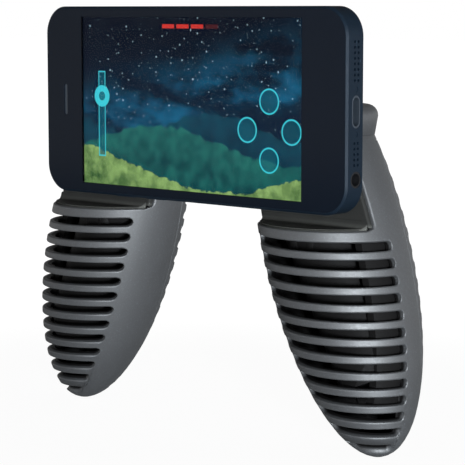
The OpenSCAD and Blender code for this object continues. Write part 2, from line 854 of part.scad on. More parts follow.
module top_cap() {
    neck_r = section_half_x(neck_z);
    wide_r = neck_r + cap_flare;
    round_z = cap_h - cap_round;
    color(grip_grey) intersection() {
        union() {
            translate([section_x(neck_z), grip_y, neck_z]) rotate_extrude()
                polygon(concat([[0, 0], [neck_r, 0]],
                    [for (t = [0 : 6 : 90])
                        [wide_r + cap_round * (cos(t) - 1), round_z + cap_round * sin(t)]],
                    [[0, cap_h]]));
            intersection() {
                egg(shell_wall + slide_gap);
                block([grip_x - 2 * grip_r, wall_y + shell_wall + slide_gap, neck_z - spigot_h],
                    [grip_x + 2 * grip_r, grip_y + 2 * grip_r, neck_z + over]);
            }
        }
        block([grip_x - 3 * grip_r, wall_y, neck_z - 2 * spigot_h],
            [grip_x + 3 * grip_r, grip_y + 3 * grip_r, neck_z + 2 * cap_h]);
    }
}

module floor_pad() {
    color(rubber_black) intersection() {
        egg(pad_inset);
        block([grip_x - 2 * grip_r, grip_y - 2 * grip_r, floor_z],
            [grip_x + 2 * grip_r, fillet_y, floor_z + floor_pad_t]);
    }
}

module back_pad() {
    color(rubber_black) intersection() {
        egg(pad_inset);
        block([grip_x - 2 * grip_r, phone_t + slide_gap, floor_z + pocket_fillet + pad_gap],
            [grip_x + 2 * grip_r, wall_y, neck_z - pad_inset]);
    }
}

// The left grip mirrors the right one
module on_side(side) {
    mirror([side < 0 ? 1 : 0, 0, 0]) children();
}

phone_frame();
phone_back_plate();
cover_glass();
display_panel();
earpiece_mesh();
earpiece_receiver();
front_camera();
rear_camera_module();
rear_camera_ring();
rear_camera_lens();
flash_window();
battery();
logic_board();
shield_cans();
loudspeaker();
microphone();
vibration_motor();
dock_connector();
dock_tongue();
headphone_jack();
end_screws();
key_switches();
sim_reader();
volume_up_key();
volume_down_key();
power_key();
mute_switch();
sim_tray();
sim_card();
on_side(-1) grip_shell();  // left_grip_shell
on_side(-1) back_cover();  // left_back_cover
on_side(-1) core();  // left_core
on_side(-1) top_cap();  // left_top_cap
on_side(-1) floor_pad();  // left_floor_pad
on_side(-1) back_pad();  // left_back_pad
on_side(-1) cover_screws();  // left_cover_screws
on_side(-1) core_screws();  // left_core_screws
on_side(1) grip_shell();  // right_grip_shell
on_side(1) back_cover();  // right_back_cover
on_side(1) core();  // right_core
on_side(1) top_cap();  // right_top_cap
on_side(1) floor_pad();  // right_floor_pad
on_side(1) back_pad();  // right_back_pad
on_side(1) cover_screws();  // right_cover_screws
on_side(1) core_screws();  // right_core_screws
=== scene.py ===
"""Studio scene of a phone carried by two ribbed hand grips, for touch-screen games."""
import json
import logging
import math
from dataclasses import dataclass, field, replace
from enum import Enum
from typing import Callable, Dict, List, Optional, Sequence, Tuple, Union

import bmesh
import bpy
from mathutils import Euler, Matrix, Vector


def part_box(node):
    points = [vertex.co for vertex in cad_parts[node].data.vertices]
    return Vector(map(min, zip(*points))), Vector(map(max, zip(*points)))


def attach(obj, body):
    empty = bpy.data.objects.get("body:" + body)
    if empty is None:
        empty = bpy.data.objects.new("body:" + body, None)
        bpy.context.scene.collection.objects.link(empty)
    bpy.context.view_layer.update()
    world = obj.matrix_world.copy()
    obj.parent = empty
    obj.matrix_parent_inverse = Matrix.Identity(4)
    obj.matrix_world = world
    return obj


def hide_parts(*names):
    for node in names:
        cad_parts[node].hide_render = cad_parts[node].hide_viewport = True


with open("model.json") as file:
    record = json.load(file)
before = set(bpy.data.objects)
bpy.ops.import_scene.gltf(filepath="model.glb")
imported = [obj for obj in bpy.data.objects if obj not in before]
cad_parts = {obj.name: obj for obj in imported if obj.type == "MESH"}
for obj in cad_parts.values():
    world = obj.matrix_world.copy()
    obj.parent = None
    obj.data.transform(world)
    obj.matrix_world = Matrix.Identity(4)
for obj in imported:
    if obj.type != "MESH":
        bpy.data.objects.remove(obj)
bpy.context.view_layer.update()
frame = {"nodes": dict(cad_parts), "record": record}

LOG = logging.getLogger("grip_scene")
MM = 0.001
FULL_TURN = 2.0 * math.pi
SHARP = math.radians(35.0)
WELD = 1e-4
SORT_SLANT = (0.618, 0.357, 0.701)
Colour = Tuple[float, float, float]
Point = Tuple[float, float, float]
Value = Union[float, "Signal"]


def srgb(red: float, green: float, blue: float) -> Colour:
    """Turn a colour in picture values, 0 to 255, into linear light.

    Args:
        red: Red, 0 to 255.
        green: Green, 0 to 255.
        blue: Blue, 0 to 255.

    Returns:
        The colour's three linear values.
    """
    def linear(value: float) -> float:
        """Undo the picture curve for one channel."""
        share = value / 255.0
        return share / 12.92 if share <= 0.04045 else ((share + 0.055) / 1.055) ** 2.4
    return linear(red), linear(green), linear(blue)


def scaled(colour: Colour, share: float) -> Colour:
    """The same colour, lighter or darker."""
    return tuple(share * channel for channel in colour)


class Side(Enum):
    """The two sides that a grip can be on."""

    LEFT = -1
    RIGHT = 1

    def node(self, piece: str) -> str:
        """Name a piece of the grip on this side."""
        return f"{self.name.lower()}_{piece}"

    @property
    def body(self) -> str:
        """Name of the moving body on this side."""
        return self.node("grip")


class Signal:
    """A shader socket that can be used in Python arithmetic."""

    def __init__(self, shader: "Shader", socket: bpy.types.NodeSocket) -> None:
        """Keep the socket and the shader that it belongs to."""
        self.shader = shader
        self.socket = socket

    def math(self, operation: str, *others: Value) -> "Signal":
        """Apply a Math node to this signal and others."""
        return self.shader.math(operation, self, *others)

    def __add__(self, other: Value) -> "Signal":
        """Add."""
        return self.math("ADD", other)

    __radd__ = __add__

    def __sub__(self, other: Value) -> "Signal":
        """Subtract."""
        return self.math("SUBTRACT", other)

    def __rsub__(self, other: Value) -> "Signal":
        """Subtract this from a number."""
        return self.shader.math("SUBTRACT", other, self)

    def __mul__(self, other: Value) -> "Signal":
        """Multiply."""
        return self.math("MULTIPLY", other)

    __rmul__ = __mul__

    def __abs__(self) -> "Signal":
        """Drop the sign."""
        return self.math("ABSOLUTE")

    def largest(self, other: Value) -> "Signal":
        """The larger of two."""
        return self.math("MAXIMUM", other)

    def step(self, low: float, high: float) -> "Signal":
        """A smooth step from 0 at low to 1 at high.

        Args:
            low: Where the step starts.
            high: Where it ends; lower than low for a falling step.

        Returns:
            The step as a signal from 0 to 1.
        """
        if low < high:
            return self.shader.node("ShaderNodeMapRange", {"interpolation_type": "SMOOTHSTEP"},
                                    {"Value": self, "From Min": low, "From Max": high})
        return 1.0 - self.step(high, low)


class Shader:
    """Builds one node material."""

    def __init__(self, name: str) -> None:
        """Start an empty material.

        Args:
            name: The material's name.
        """
        self.material = bpy.data.materials.new(name)
        self.material.use_nodes = True
        self.tree = self.material.node_tree
        self.tree.nodes.clear()
        self._place: Optional[Signal] = None

    def node(self, kind: str, settings: Optional[dict] = None, inputs: Optional[dict] = None,
             out: Union[int, str] = 0) -> Signal:
        """Add a node.

        Args:
            kind: The node's type.
            settings: Properties to set first; "stops" holds a ramp's stops.
            inputs: Values or signals by socket name or number.
            out: The output to return.

        Returns:
            The chosen output.
        """
        made = self.tree.nodes.new(kind)
        for key, value in (settings or {}).items():
            if key == "stops":
                ramp = made.color_ramp
                while len(ramp.elements) < len(value):
                    ramp.elements.new(1.0)
                for element, (place, colour) in zip(ramp.elements, value):
                    element.position = place
                    element.color = (*colour, 1.0)
            else:
                setattr(made, key, value)
        for key, value in (inputs or {}).items():
            if isinstance(value, Signal):
                self.tree.links.new(value.socket, made.inputs[key])
            elif isinstance(value, tuple) and len(value) == 3 and made.inputs[key].type == "RGBA":
                made.inputs[key].default_value = (*value, 1.0)
            else:
                made.inputs[key].default_value = value
        return Signal(self, made.outputs[out])

    def math(self, operation: str, *values: Value) -> Signal:
        """Add a Math node over values and signals."""
        return self.node("ShaderNodeMath", {"operation": operation}, dict(enumerate(values)))

    def mix(self, factor: Value, first: Union[Colour, Signal],
            second: Union[Colour, Signal]) -> Signal:
        """Mix two colours.

        Args:
            factor: 0 for the first colour, 1 for the second.
            first: The first colour.
            second: The second colour.

        Returns:
            The mixed colour.
        """
        return self.node("ShaderNodeMix", {"data_type": "RGBA"},
                         {0: factor, 6: first, 7: second}, 2)

    def blend(self, factor: Signal, first: Signal, second: Signal) -> Signal:
        """Mix two surfaces; the factor is 0 for the first, 1 for the second."""
        return self.node("ShaderNodeMixShader", None, {0: factor, 1: first, 2: second})

    @property
    def place(self) -> Signal:
        """Object coordinates, in metres.

        Returns:
            The coordinates, from one node for the whole material.
        """
        if self._place is None:
            self._place = self.node("ShaderNodeTexCoord", out="Object")
        return self._place

    def axes(self) -> Tuple[Signal, Signal, Signal]:
        """Object coordinates in millimetres.

        Returns:
            One signal for each axis.
        """
        split = self.node("ShaderNodeSeparateXYZ", None, {0: self.place})
        outputs = split.socket.node.outputs
        return tuple(Signal(self, outputs[i]) * 1000.0 for i in range(3))

    def noise(self, scale: float, detail: float = 2.0, roughness: float = 0.5,
              stretch: Optional[Point] = None) -> Signal:
        """Fractal noise over the piece.

        Args:
            scale: Features per metre.
            detail: Octaves.
            roughness: Share that finer octaves keep.
            stretch: Scale along each axis, for brushed or streaky noise.

        Returns:
            The noise, around 0.5.
        """
        where = self.place
        if stretch:
            where = self.node("ShaderNodeMapping", None, {"Vector": where, "Scale": stretch})
        return self.node("ShaderNodeTexNoise", None, {
            "Vector": where, "Scale": scale, "Detail": detail, "Roughness": roughness})

    def bump(self, height: Signal, distance: float) -> Signal:
        """A bump of a real depth.

        Args:
            height: Height from 0 to 1.
            distance: Depth in metres.

        Returns:
            The normal.
        """
        return self.node("ShaderNodeBump", None,
                         {"Height": height, "Distance": distance, "Strength": 1.0})

    def principled(self, **inputs: object) -> Signal:
        """Add a Principled shader; underscores in the names stand for spaces."""
        return self.node("ShaderNodeBsdfPrincipled", None,
                         {key.replace("_", " "): value for key, value in inputs.items()})

    def finish(self, shader: Signal) -> bpy.types.Material:
        """Send a surface to the output.

        Args:
            shader: The surface.

        Returns:
            The material.
        """
        output = self.tree.nodes.new("ShaderNodeOutputMaterial")
        self.tree.links.new(shader.socket, output.inputs["Surface"])
        return self.material


@dataclass(frozen=True)
class GrainedPlastic:
    """Moulded plastic with a spark-eroded grain and a satin sheen."""

    name: str
    colour: Colour
    fleck: Colour
    roughness: float = 0.42
    grain: float = 1500.0
    depth: float = 0.00006
    fleck_share: float = 0.5
    gloss: float = 0.3
    bend: float = 1.5
    cloud: float = 45.0
    fleck_grain: float = 1.9
    fleck_step: Tuple[float, float] = (0.60, 0.74)

    def material(self) -> bpy.types.Material:
        """Build the material."""
        shader = Shader(self.name)
        return shader.finish(self.surface(shader))

    def surface(self, shader: Shader) -> Signal:
        """Build the surface in a shader that is under construction.

        Args:
            shader: The shader.

        Returns:
            The surface.
        """
        fine = shader.noise(self.grain, 3.0, 0.6)
        broad = shader.noise(self.cloud, 2.0)
        flecks = shader.noise(self.grain * self.fleck_grain, 1.0).step(*self.fleck_step)
        tone = shader.mix(broad.step(0.3, 0.7), scaled(self.colour, 0.9), self.colour)
        colour = shader.mix(flecks * self.fleck_share, tone, self.fleck)
        rough = (fine - 0.5) * 0.28 + (broad - 0.5) * 0.08 + self.roughness
        return shader.principled(
            Base_Color=colour, Roughness=rough, Normal=shader.bump(fine, self.depth),
            Specular_IOR_Level=self.gloss, IOR=self.bend)


@dataclass(frozen=True)
class SatinMetal:
    """Metal with a fine brushed or blasted surface."""

    name: str
    colour: Colour
    metallic: float = 1.0
    roughness: float = 0.34
    grain: float = 900.0
    stretch: Point = (1.0, 1.0, 1.0)
    depth: float = 0.00001
    gloss: float = 0.5

    def material(self) -> bpy.types.Material:
        """Build the material.

        Returns:
            The material.
        """
        shader = Shader(self.name)
        fine = shader.noise(self.grain, 2.0, 0.55, self.stretch)
        broad = shader.noise(60.0, 2.0)
        colour = shader.mix(fine, scaled(self.colour, 0.88), scaled(self.colour, 1.1))
        rough = (fine - 0.5) * 0.16 + (broad - 0.5) * 0.06 + self.roughness
        return shader.finish(shader.principled(
            Base_Color=colour, Metallic=self.metallic, Roughness=rough,
            Normal=shader.bump(fine, self.depth), Specular_IOR_Level=self.gloss))


@dataclass(frozen=True)
class GlossPlastic:
    """Smooth moulded or lacquered plastic under a clear coat."""

    name: str
    colour: Colour
    roughness: float = 0.18
    coat: float = 0.4

    def material(self) -> bpy.types.Material:
        """Build the material.

        Returns:
            The material.
        """
        shader = Shader(self.name)
        broad = shader.noise(180.0, 3.0)
        colour = shader.mix(broad, scaled(self.colour, 0.85), scaled(self.colour, 1.12))
        return shader.finish(shader.principled(
            Base_Color=colour, Roughness=(broad - 0.5) * 0.1 + self.roughness,
            Coat_Weight=self.coat, Coat_Roughness=0.06))


@dataclass(frozen=True)
class RubberFinish:
    """Matt rubber with a faint bloom, and painted light below a height in millimetres: lighter
    where the pocket's floor faces up.
    """

    name: str
    colour: Colour
    bloom: Colour
    lit_floor: Colour
    lit_floor_line: Tuple[float, float] = (-31.4, -32.9)

    def material(self) -> bpy.types.Material:
        """Build the material.

        Returns:
            The material.
        """
        shader = Shader(self.name)
        fine = shader.noise(2200.0, 3.0, 0.65)
        broad = shader.noise(120.0, 3.0)
        up = shader.axes()[2]
        colour = shader.mix(broad.step(0.35, 0.8) * 0.35, self.colour, self.bloom)
        # Painted light: the rubber turns lighter below the given height, standing in for the light
        # on the pocket's floor.
        colour = shader.mix(up.step(*self.lit_floor_line), colour, self.lit_floor)
        return shader.finish(shader.principled(
            Base_Color=colour, Roughness=(fine - 0.5) * 0.2 + 0.78,
            Normal=shader.bump(fine, 0.00005), Specular_IOR_Level=0.35))


@dataclass(frozen=True)
class GlassFinish:
    """Cover glass: clear over the display, printed black round it."""

    name: str
    print_colour: Colour
    window: Tuple[float, float] = (45.35, 26.05)
    softness: float = 0.08

    def material(self) -> bpy.types.Material:
        """Build the material.

        Returns:
            The material.
        """
        shader = Shader(self.name)
        across, _, up = shader.axes()
        half_w, half_h = self.window
        clear = (abs(across).step(half_w + self.softness, half_w - self.softness)
                 * abs(up).step(half_h + self.softness, half_h - self.softness))
        smear = shader.noise(70.0, 4.0, 0.6)
        printed = shader.principled(
            Base_Color=shader.mix(smear, self.print_colour, scaled(self.print_colour, 1.15)),
            Roughness=(smear - 0.5) * 0.08 + 0.1, IOR=1.5, Specular_IOR_Level=0.06)
        window = shader.principled(Base_Color=(1.0, 1.0, 1.0), Roughness=0.0, IOR=1.08,
                                   Transmission_Weight=1.0)
        return shader.finish(shader.blend(clear, printed, window))


@dataclass
class ScreenPicture:
    """A plain made-up night landscape with touch controls, laid out in millimetres."""

    shader: Shader
    cyan: Colour = srgb(60, 205, 220)
    teal: Colour = srgb(14, 96, 116)
    keys: Tuple[Tuple[float, float], ...] = ((32.5, 2.0), (32.5, -15.0), (24.0, -6.5), (41.0, -6.5))
    key_radius: float = 3.55
    slider: Tuple[float, float] = (-37.0, -4.0)
    knob: Tuple[float, float] = (-37.0, 1.5)
    blur: float = 0.1

    def __post_init__(self) -> None:
        """Split the screen's coordinates, from its middle."""
        self.across, _, self.up = self.shader.axes()

    def colour(self) -> Signal:
        """Build the whole picture."""
        return self._controls(self._hills(self._sky()))

    def _sky(self) -> Signal:
        """Night sky with drifting teal light and fine bright grit.

        Returns:
            The sky's colour.
        """
        mix, up = self.shader.mix, self.up
        mist = self.shader.noise(42.0, 6.0, 0.62, (1.0, 1.0, 2.2))
        sky = mix(up.step(-30.0, 26.0), srgb(10, 34, 58), srgb(5, 10, 24))
        drift = abs(up - self.across * 0.22 - 5.0 + (mist - 0.5) * 30.0)
        sky = mix(drift.step(15.0, 0.0) * mist.step(0.38, 0.72) * 0.75, sky, srgb(20, 110, 150))
        grit = self.shader.noise(1100.0, 0.0).step(0.735, 0.80) * up.step(-16.0, 0.0)
        return mix(grit * 0.7, sky, srgb(170, 205, 220))

    def _hills(self, picture: Signal) -> Signal:
        """Lay three ranges of hills over the picture, the nearest green.

        Args:
            picture: The picture so far.

        Returns:
            The picture with its hills.
        """
        mix, up = self.shader.mix, self.up
        rough = self.shader.noise(260.0, 5.0, 0.6)
        for base, swell, wave, shift, dark, light in (
                (-6.0, 3.5, 0.09, 0.6, srgb(10, 42, 62), srgb(16, 70, 88)),
                (-11.5, 4.5, 0.06, 2.3, srgb(12, 60, 66), srgb(34, 112, 104)),
                (-19.0, 6.5, 0.045, 4.2, srgb(26, 70, 34), srgb(150, 186, 112))):
            crest = (self.across * wave + shift).math("SINE") * swell + (rough - 0.5) * 5.0 + base
            shade = rough.step(0.3, 0.75) * 0.7 + (up - crest).step(-11.0, 0.0) * 0.3
            picture = mix((crest - up).step(-0.1, 0.25), picture, mix(shade, dark, light))
        return picture

    def _away(self, x: float, z: float) -> Signal:
        """Distance from a point."""
        squares = (self.across - x).math("POWER", 2.0) + (self.up - z).math("POWER", 2.0)
        return squares.math("SQRT")

    def _bar(self, x: float, z: float, half_w: float, half_h: float) -> Signal:
        """A box's mask, by its middle and half sizes."""
        return (abs(self.across - x).step(half_w + self.blur, half_w - self.blur)
                * abs(self.up - z).step(half_h + self.blur, half_h - self.blur))

    def _controls(self, picture: Signal) -> Signal:
        """Lay four round keys, a slider and a few small bars over the picture.

        Args:
            picture: The picture so far.

        Returns:
            The picture with its controls.
        """
        mix = self.shader.mix
        for x, z in self.keys:
            away = self._away(x, z)
            picture = mix(away.step(3.7, 3.4) * 0.45, picture, self.teal)
            picture = mix(abs(away - self.key_radius).step(0.34, 0.14) * 0.9, picture, self.cyan)
        rim = self._bar(*self.slider, 1.55, 13.3) - self._bar(*self.slider, 1.2, 12.9)
        picture = mix(self._bar(*self.slider, 1.3, 13.0) * 0.5, picture, self.teal)
        picture = mix(rim * 0.85, picture, self.cyan)
        picture = mix(self._away(*self.knob).step(3.5, 3.2) * 0.92, picture, self.cyan)
        picture = mix(self._away(*self.knob).step(1.5, 1.3) * 0.8, picture, srgb(12, 70, 92))
        for index in range(4):
            tone = srgb(196, 52, 44) if index < 3 else srgb(72, 26, 30)
            picture = mix(self._bar(-8.0 + 6.0 * index, 23.3, 2.5, 0.6), picture, tone)
        return picture


@dataclass(frozen=True)
class ScreenFinish:
    """A lit screen that shows its picture."""

    name: str

    def material(self) -> bpy.types.Material:
        """Build the material.

        Returns:
            The material.
        """
        shader = Shader(self.name)
        return shader.finish(shader.principled(
            Base_Color=(0.004, 0.005, 0.007), Roughness=0.4, Specular_IOR_Level=0.0,
            Emission_Color=ScreenPicture(shader).colour(), Emission_Strength=1.0))


@dataclass(frozen=True)
class Egg:
    """The leaning egg that a grip follows, in millimetres, on the +X side."""

    x: float = 46.3
    y: float = 15.3
    z: float = -42.0
    radius: float = 21.4
    half_length: float = 60.3
    lean: float = math.radians(17.15)

    def terms(self) -> Tuple[float, float, float]:
        """Terms of the egg's quadratic form.

        Returns:
            The terms of xx, zz and xz.
        """
        c, s = math.cos(self.lean), math.sin(self.lean)
        r, h = self.radius ** -2, self.half_length ** -2
        return c * c * r + s * s * h, s * s * r + c * c * h, s * c * (r - h)

    @property
    def drop(self) -> float:
        """From the middle down to the lowest point."""
        return math.hypot(self.radius * math.sin(self.lean),
                          self.half_length * math.cos(self.lean))

    def inset(self, depth: float) -> "Egg":
        """The same egg with its surface set in."""
        return replace(self, radius=self.radius - depth, half_length=self.half_length - depth)

    def section(self, z: float) -> Tuple[float, float, float]:
        """Horizontal section at a height.

        Args:
            z: The height.

        Returns:
            The section's middle in X, and its half sizes in X and Y.
        """
        xx, zz, xz = self.terms()
        share = max(1e-9, 1.0 - (zz - xz * xz / xx) * (z - self.z) ** 2)
        middle = self.x - xz / xx * (z - self.z)
        return middle, math.sqrt(share / xx), self.radius * math.sqrt(share)

    def point(self, turn: float, z: float) -> Vector:
        """Point on the surface, by its turn in the section at a height."""
        cx, ax, ay = self.section(z)
        return Vector((cx + ax * math.cos(turn), self.y + ay * math.sin(turn), z))


@dataclass(frozen=True)
class SkinWithPaintedShade:
    """Satin paint on a shell's outside, with black painted shade on the faces set in below it: slot
    walls, inner faces and the pocket.
    """

    name: str
    paint: GrainedPlastic
    shade_inside: GrainedPlastic
    egg: Egg = field(default_factory=Egg)
    paint_depth: float = 1.3
    fade: float = 0.03

    def material(self) -> bpy.types.Material:
        """Build the material.

        Returns:
            The material.
        """
        shader = Shader(self.name)
        across, along, up = shader.axes()
        edge = self.egg.inset(self.paint_depth)
        xx, zz, xz = edge.terms()
        x, y, z = abs(across) - edge.x, along - edge.y, up - edge.z
        level = x * x * xx + z * z * zz + x * z * (2.0 * xz) + y * y * edge.radius ** -2
        outside = level.step(1.0 - self.fade, 1.0 + self.fade)
        # Painted shade: faces deeper than paint_depth under the egg take the black surface,
        # darkening the slots' insides and the pocket.
        return shader.finish(shader.blend(
            outside, self.shade_inside.surface(shader), self.paint.surface(shader)))


def clamp(value: float, low: float = -1.0, high: float = 1.0) -> float:
    """Keep a value between two limits."""
    return max(low, min(high, value))


def new_piece(name: str, mesh_source: bmesh.types.BMesh, smooth: bool = True) -> bpy.types.Object:
    """Turn a bmesh into an object at the origin.

    Args:
        name: The piece's name.
        mesh_source: The bmesh, in metres; it is freed.
        smooth: Whether its faces are shaded smooth.

    Returns:
        The linked object.
    """
    mesh = bpy.data.meshes.new(name)
    mesh_source.to_mesh(mesh)
    mesh_source.free()
    if smooth:
        mesh.shade_smooth()
    piece = bpy.data.objects.new(name, mesh)
    bpy.context.scene.collection.objects.link(piece)
    return piece


def dress(piece: bpy.types.Object, material: bpy.types.Material, body: str,
          stands_for: Sequence[str] = ()) -> bpy.types.Object:
    """Give a new piece its finish, its body and the nodes that it stands for.

    Args:
        piece: The piece.
        material: Its material.
        body: The body that it moves with.
        stands_for: CAD nodes that it replaces.

    Returns:
        The piece.
    """
    piece.data.materials.clear()
    piece.data.materials.append(material)
    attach(piece, body)
    if stands_for:
        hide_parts(*stands_for)
    LOG.info("piece %s on %s", piece.name, body)
    return piece


def soften(piece: bpy.types.Object, width: float, segments: int = 3, angle: float = 35.0,
           by_weight: bool = False) -> None:
    """Round a piece's sharp edges.

    Args:
        piece: The piece.
        width: Width of the rounding in metres.
        segments: Facets of the rounding.
        angle: Least turn, in degrees, that counts as an edge.
        by_weight: Round the edges that carry a bevel weight, whatever their angle.
    """
    bevel = piece.modifiers.new("soft_edges", "BEVEL")
    bevel.width = width
    bevel.segments = segments
    bevel.limit_method = "WEIGHT" if by_weight else "ANGLE"
    bevel.angle_limit = math.radians(angle)
    bevel.profile = 0.5
    bevel.use_clamp_overlap = False
    bevel.harden_normals = True


Columns = Tuple[List[float], Dict[str, int], Dict[int, Tuple[str, float]]]


def cut_across(bm: bmesh.types.BMesh, y: float, ahead: float = 1.0,
               clear: bool = False) -> List[bmesh.types.BMEdge]:
    """Cut a bmesh with a plane across Y.

    Args:
        bm: The bmesh.
        y: Where the plane lies.
        ahead: The side that counts as outer, 1 or -1.
        clear: Whether the outer side is taken away.

    Returns:
        The edges on the cut.
    """
    made = bmesh.ops.bisect_plane(bm, geom=[*bm.verts, *bm.edges, *bm.faces], clear_outer=clear,
                                  plane_co=(0.0, y, 0.0), plane_no=(0.0, ahead, 0.0))
    return [item for item in made["geom_cut"] if isinstance(item, bmesh.types.BMEdge)]


def extrude(bm: bmesh.types.BMesh, faces: Sequence[bmesh.types.BMFace]) -> List[bmesh.types.BMVert]:
    """Extrude faces where they lie and return the new vertices."""
    made = bmesh.ops.extrude_face_region(bm, geom=faces)
    return [item for item in made["geom"] if isinstance(item, bmesh.types.BMVert)]


def rebuilt(bm: bmesh.types.BMesh) -> bmesh.types.BMesh:
    """Make a bmesh anew, with its elements in an order that is the same each run.

    Args:
        bm: The bmesh; it is freed.

    Returns:
        The new bmesh, without the old one's layers.
    """
    slant = Vector(SORT_SLANT)
    made = bmesh.new()
    verts = {vert: made.verts.new(vert.co)
             for vert in sorted(bm.verts, key=lambda item: item.co.dot(slant))}
    for face in sorted(bm.faces, key=lambda item: item.calc_center_median().dot(slant)):
        made.faces.new([verts[corner] for corner in face.verts])
    bm.free()
    return made


def spin(bm: bmesh.types.BMesh, outline: Sequence[bmesh.types.BMVert], closed: bool, middle: Point,
         axis: Point, steps: int) -> None:
    """Turn an outline once round an axis.

    Args:
        bm: The bmesh that holds the outline.
        outline: The outline's vertices, in order.
        closed: Whether the last vertex joins the first.
        middle: A point on the axis.
        axis: The axis's direction.
        steps: Facets round the turn.
    """
    following = [*outline[1:], outline[0]] if closed else outline[1:]
    edges = [bm.edges.new(pair) for pair in zip(outline, following)]
    bmesh.ops.spin(bm, geom=[*outline, *edges], cent=middle, axis=axis, dvec=(0.0, 0.0, 0.0),
                   angle=FULL_TURN, steps=steps, use_merge=True)


def turn_outward(bm: bmesh.types.BMesh, rear: bool) -> None:
    """Reverse a skin that looks inward.

    Args:
        bm: The skin.
        rear: Whether its rearmost face decides, and not its foremost.
    """
    bm.normal_update()
    pick = max if rear else min
    face = pick(bm.faces, key=lambda item: item.calc_center_median().y)
    if (face.normal.y < 0) == rear:
        bmesh.ops.reverse_faces(bm, faces=bm.faces)


@dataclass
class GripLayout:
    """Rows and columns that lay slots, lid and pocket out on the egg, in millimetres."""

    egg: Egg = field(default_factory=Egg)
    floor: float = -33.5
    wall: float = 9.4
    fillet: float = 2.0
    neck: float = -7.4
    lid_top: float = -9.4
    seam: float = 7.4
    slot_half: float = 1.3
    pitch: float = 4.85
    first: float = -37.8
    front_slots: Tuple[int, int] = (0, 12)
    lid_slots: Tuple[int, int] = (-5, 10)
    slot_inset: float = 3.5
    outer_stop: float = 1.3
    lid_margin: float = 1.4
    rounding: Tuple[float, ...] = (0.0, 0.09, 0.32, 0.64, 1.0)
    foot_turns: Tuple[float, ...] = (5.0, 9.5, 13.5)
    fillet_rows: Tuple[float, ...] = (0.35, 1.0)
    lid_reach: float = 0.72
    lid_bend: float = 0.6

    def slot_z(self, k: float) -> float:
        """Middle height of slot k, or of a place between two slots."""
        return self.first - k * self.pitch

    @property
    def foot(self) -> float:
        """Lowest point of the grip."""
        return self.egg.z - self.egg.drop

    @property
    def lid_foot(self) -> float:
        """Lowest point of the lid's seam."""
        return self.egg.z - self.egg.drop * math.sqrt(1.0 - (self.seam / self.egg.radius) ** 2)

    def wall_y(self, z: float) -> float:
        """The pocket's back wall at a height, with its fillet at the floor."""
        rise = clamp(self.fillet - (z - self.floor), 0.0, self.fillet)
        return self.wall - (self.fillet - math.sqrt(self.fillet ** 2 - rise ** 2))

    def rows(self) -> List[float]:
        """Heights of the rows.

        Returns:
            The heights, from the foot up.
        """
        heights = {self.lid_foot, self.floor, self.lid_top, self.neck, self.foot}
        heights.update(self.egg.z - self.egg.drop * math.cos(math.radians(turn))
                       for turn in self.foot_turns)
        heights.update(self.floor + rise for rise in self.fillet_rows)
        for k in range(self.lid_slots[0], self.front_slots[1] + 1):
            heights.update((self.slot_z(k) - self.slot_half, self.slot_z(k) + self.slot_half))
        return sorted(heights)

    def slot_at(self, z: float, span: Tuple[int, int]) -> Optional[int]:
        """The slot that a height lies in.

        Args:
            z: The height.
            span: The first and the last slot that count.

        Returns:
            The slot's number, or None between slots.
        """
        k = round((self.first - z) / self.pitch)
        inside = abs(z - self.slot_z(k)) <= self.slot_half + 1e-6
        return k if inside and span[0] <= k <= span[1] else None

    def columns(self, z: float) -> Columns:
        """Turns of the columns at a height.

        Args:
            z: The height.

        Returns:
            The turns, the places of the named columns, and for a column at a slot's round end the
            slot's kind and its share of the end.
        """
        low = self.slot_z(self.front_slots[1]) - self.slot_half
        _, ax, ay = self.egg.section(max(z, low))
        r = self.slot_half
        turns: List[float] = []
        marks: Dict[str, int] = {}
        ends: Dict[int, Tuple[str, float]] = {}

        def inner(d: float) -> float:
            """Turn at a distance from the inner slot end."""
            return -math.acos(clamp((self.slot_inset + d) / ax - 1.0))

        def outer(d: float) -> float:
            """Turn at a distance from the outer slot end."""
            return math.asin(clamp((-self.outer_stop - d) / ay))

        def spread(last: float, count: int) -> None:
            """Add columns evenly up to a turn, which is left out."""
            start = turns[-1]
            turns.extend(start + (last - start) * (i + 1) / count for i in range(count - 1))

        def wall_turn(height: float) -> float:
            """Turn where the wall meets the egg on the outer side."""
            _, _, half = self.egg.section(height)
            return math.asin(clamp((self.wall_y(height) - self.egg.y) / half))

        at_floor = wall_turn(self.floor)
        _, fx, fy = self.egg.section(self.floor)
        lead_in = -math.acos(self.slot_inset / fx - 1.0) + math.pi + at_floor
        lead_out = math.asin(-self.outer_stop / fy) - at_floor
        above = z >= self.floor
        wall_in = -math.pi - wall_turn(z) if above else inner(0.0) - lead_in
        wall_out = wall_turn(z) if above else outer(0.0) - lead_out
        turns.append(wall_in)
        spread(inner(0.0), 4)
        marks["slot_in"] = len(turns)
        for share in self.rounding:
            ends[len(turns)] = ("front", share)
            turns.append(inner(share * r))
        spread(wall_out, 18)
        marks["wall_out"] = len(turns)
        turns.append(wall_out)
        spread(outer(r), 3)
        for share in reversed(self.rounding):
            ends[len(turns)] = ("front", share)
            turns.append(outer(share * r))
        marks["slot_out"] = len(turns) - 1
        _, sx, sy = self.egg.section(z)
        seam = math.asin(clamp(self.seam / sy)) if sy > self.seam else math.pi / 2
        spread(seam, 6)
        marks["seam_out"] = len(turns)
        turns.append(seam)
        half = sx * math.cos(seam)
        reach = max(half - self.lid_margin, self.lid_reach * half)
        bend = min(r, self.lid_bend * reach)
        marks["lid_out"] = len(turns)
        for share in self.rounding:
            ends[len(turns)] = ("lid", share)
            turns.append(math.acos(clamp((reach - share * bend) / sx)))
        spread(math.pi - turns[-1], 10)
        for share in reversed(self.rounding):
            ends[len(turns)] = ("lid", share)
            turns.append(math.pi - math.acos(clamp((reach - share * bend) / sx)))
        marks["lid_in"] = len(turns) - 1
        marks["seam_in"] = len(turns)
        turns.append(math.pi - seam)
        spread(wall_in + FULL_TURN, 9)
        return turns, marks, ends

